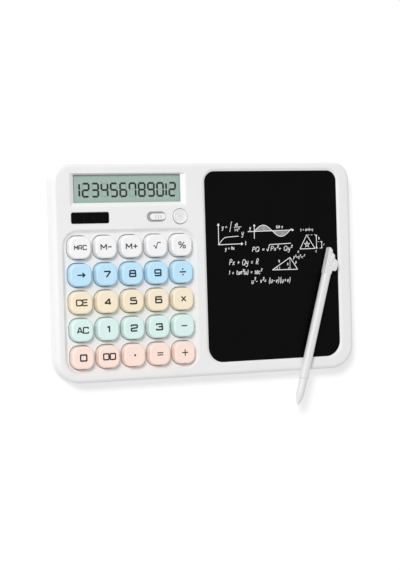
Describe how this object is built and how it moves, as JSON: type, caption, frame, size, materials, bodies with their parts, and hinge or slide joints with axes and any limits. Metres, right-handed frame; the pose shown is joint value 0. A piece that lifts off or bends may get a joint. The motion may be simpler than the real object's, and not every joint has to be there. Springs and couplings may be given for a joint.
{
  "type": "desk calculator",
  "caption": "Flat desk calculator with a pastel keypad and LCD on the left, an LCD writing tablet on the right, a battery hatch underneath and a loose stylus.",
  "frame": {"origin": "centre of the rear cover's raised centre panel, on its flat outer face", "axes": "+X right across keypad and writing screen, +Y towards the top edge with the display, +Z out of the keypad face"},
  "size_m": [0.195, 0.1491, 0.0195],
  "materials": {
    "shell": "satin off-white moulded ABS",
    "key_white": "satin white keycaps",
    "key_blue": "satin pale blue keycaps",
    "key_cream": "satin cream keycaps",
    "key_mint": "satin pale mint keycaps",
    "key_pink": "satin pale pink keycaps",
    "screen": "black flexible writing film, semi-gloss",
    "lcd": "grey-green reflective LCD cell",
    "lens": "clear acrylic display window",
    "solar": "near-black amorphous solar cell under a clear cover",
    "silicone": "moulded silicone sheet",
    "rubber": "dark grey rubber",
    "circuit": "green glass-epoxy board",
    "epoxy": "black moulded resin",
    "steel": "nickel-plated steel",
    "stylus": "satin off-white moulded ABS"
  },
  "bodies": {
    "housing": {"front_shell": "shell", "back_shell": "shell", "writing_panel": "screen", "panel_backing": "silicone", "display_window": "lens", "lcd_glass": "lcd", "lcd_connector": "rubber", "solar_window": "solar", "solar_cell": "solar", "keypad_membrane": "silicone", "main_board": "circuit", "processor_blob": "epoxy", "tablet_board": "circuit", "lock_switch": "epoxy", "erase_switch": "epoxy", "coin_cell": "steel", "button_cell": "steel", "cell_contact": "steel", "screw_1": "steel", "screw_2": "steel", "screw_3": "steel", "screw_4": "steel", "screw_5": "steel", "screw_6": "steel", "foot_1": "rubber", "foot_2": "rubber", "foot_3": "rubber", "foot_4": "rubber"},
    "key_memory_recall": {"key_memory_recall": "key_white"},
    "key_memory_minus": {"key_memory_minus": "key_white"},
    "key_memory_plus": {"key_memory_plus": "key_white"},
    "key_square_root": {"key_square_root": "key_white"},
    "key_percent": {"key_percent": "key_white"},
    "key_backspace": {"key_backspace": "key_blue"},
    "key_7": {"key_7": "key_blue"},
    "key_8": {"key_8": "key_blue"},
    "key_9": {"key_9": "key_blue"},
    "key_divide": {"key_divide": "key_blue"},
    "key_clear_entry": {"key_clear_entry": "key_cream"},
    "key_4": {"key_4": "key_cream"},
    "key_5": {"key_5": "key_cream"},
    "key_6": {"key_6": "key_cream"},
    "key_multiply": {"key_multiply": "key_cream"},
    "key_all_clear": {"key_all_clear": "key_mint"},
    "key_1": {"key_1": "key_mint"},
    "key_2": {"key_2": "key_mint"},
    "key_3": {"key_3": "key_mint"},
    "key_minus": {"key_minus": "key_mint"},
    "key_0": {"key_0": "key_pink"},
    "key_00": {"key_00": "key_pink"},
    "key_decimal_point": {"key_decimal_point": "key_pink"},
    "key_equals": {"key_equals": "key_pink"},
    "key_plus": {"key_plus": "key_pink"},
    "erase_button": {"erase_button": "shell"},
    "lock_slider": {"lock_slider": "shell"},
    "battery_door": {"battery_door": "shell"},
    "stylus": {"stylus_barrel": "stylus", "stylus_tip": "stylus"}
  },
  "joints": [
    {"name": "key_memory_recall_press", "type": "slide", "parent": "housing", "child": "key_memory_recall", "axis": [0, 0, -1], "range_m": [0, 0.0012], "stiffness_N_per_m": 450},
    {"name": "key_memory_minus_press", "type": "slide", "parent": "housing", "child": "key_memory_minus", "axis": [0, 0, -1], "range_m": [0, 0.0012], "stiffness_N_per_m": 450},
    {"name": "key_memory_plus_press", "type": "slide", "parent": "housing", "child": "key_memory_plus", "axis": [0, 0, -1], "range_m": [0, 0.0012], "stiffness_N_per_m": 450},
    {"name": "key_square_root_press", "type": "slide", "parent": "housing", "child": "key_square_root", "axis": [0, 0, -1], "range_m": [0, 0.0012], "stiffness_N_per_m": 450},
    {"name": "key_percent_press", "type": "slide", "parent": "housing", "child": "key_percent", "axis": [0, 0, -1], "range_m": [0, 0.0012], "stiffness_N_per_m": 450},
    {"name": "key_backspace_press", "type": "slide", "parent": "housing", "child": "key_backspace", "axis": [0, 0, -1], "range_m": [0, 0.0012], "stiffness_N_per_m": 450},
    {"name": "key_7_press", "type": "slide", "parent": "housing", "child": "key_7", "axis": [0, 0, -1], "range_m": [0, 0.0012], "stiffness_N_per_m": 450},
    {"name": "key_8_press", "type": "slide", "parent": "housing", "child": "key_8", "axis": [0, 0, -1], "range_m": [0, 0.0012], "stiffness_N_per_m": 450},
    {"name": "key_9_press", "type": "slide", "parent": "housing", "child": "key_9", "axis": [0, 0, -1], "range_m": [0, 0.0012], "stiffness_N_per_m": 450},
    {"name": "key_divide_press", "type": "slide", "parent": "housing", "child": "key_divide", "axis": [0, 0, -1], "range_m": [0, 0.0012], "stiffness_N_per_m": 450},
    {"name": "key_clear_entry_press", "type": "slide", "parent": "housing", "child": "key_clear_entry", "axis": [0, 0, -1], "range_m": [0, 0.0012], "stiffness_N_per_m": 450},
    {"name": "key_4_press", "type": "slide", "parent": "housing", "child": "key_4", "axis": [0, 0, -1], "range_m": [0, 0.0012], "stiffness_N_per_m": 450},
    {"name": "key_5_press", "type": "slide", "parent": "housing", "child": "key_5", "axis": [0, 0, -1], "range_m": [0, 0.0012], "stiffness_N_per_m": 450},
    {"name": "key_6_press", "type": "slide", "parent": "housing", "child": "key_6", "axis": [0, 0, -1], "range_m": [0, 0.0012], "stiffness_N_per_m": 450},
    {"name": "key_multiply_press", "type": "slide", "parent": "housing", "child": "key_multiply", "axis": [0, 0, -1], "range_m": [0, 0.0012], "stiffness_N_per_m": 450},
    {"name": "key_all_clear_press", "type": "slide", "parent": "housing", "child": "key_all_clear", "axis": [0, 0, -1], "range_m": [0, 0.0012], "stiffness_N_per_m": 450},
    {"name": "key_1_press", "type": "slide", "parent": "housing", "child": "key_1", "axis": [0, 0, -1], "range_m": [0, 0.0012], "stiffness_N_per_m": 450},
    {"name": "key_2_press", "type": "slide", "parent": "housing", "child": "key_2", "axis": [0, 0, -1], "range_m": [0, 0.0012], "stiffness_N_per_m": 450},
    {"name": "key_3_press", "type": "slide", "parent": "housing", "child": "key_3", "axis": [0, 0, -1], "range_m": [0, 0.0012], "stiffness_N_per_m": 450},
    {"name": "key_minus_press", "type": "slide", "parent": "housing", "child": "key_minus", "axis": [0, 0, -1], "range_m": [0, 0.0012], "stiffness_N_per_m": 450},
    {"name": "key_0_press", "type": "slide", "parent": "housing", "child": "key_0", "axis": [0, 0, -1], "range_m": [0, 0.0012], "stiffness_N_per_m": 450},
    {"name": "key_00_press", "type": "slide", "parent": "housing", "child": "key_00", "axis": [0, 0, -1], "range_m": [0, 0.0012], "stiffness_N_per_m": 450},
    {"name": "key_decimal_point_press", "type": "slide", "parent": "housing", "child": "key_decimal_point", "axis": [0, 0, -1], "range_m": [0, 0.0012], "stiffness_N_per_m": 450},
    {"name": "key_equals_press", "type": "slide", "parent": "housing", "child": "key_equals", "axis": [0, 0, -1], "range_m": [0, 0.0012], "stiffness_N_per_m": 450},
    {"name": "key_plus_press", "type": "slide", "parent": "housing", "child": "key_plus", "axis": [0, 0, -1], "range_m": [0, 0.0012], "stiffness_N_per_m": 450},
    {"name": "erase_press", "type": "slide", "parent": "housing", "child": "erase_button", "axis": [0, 0, -1], "range_m": [0, 0.0008], "stiffness_N_per_m": 600},
    {"name": "lock_slide", "type": "slide", "parent": "housing", "child": "lock_slider", "axis": [-1, 0, 0], "range_m": [0, 0.002]},
    {"name": "battery_door_hinge", "type": "hinge", "parent": "housing", "child": "battery_door", "pos_m": [0.0082, -0.0125, 0], "axis": [0, 1, 0], "range_deg": [0, 50]},
    {"name": "stylus_lift", "type": "slide", "parent": "housing", "child": "stylus", "axis": [0, 0, 1], "range_m": [0, 0.06]}
  ]
}
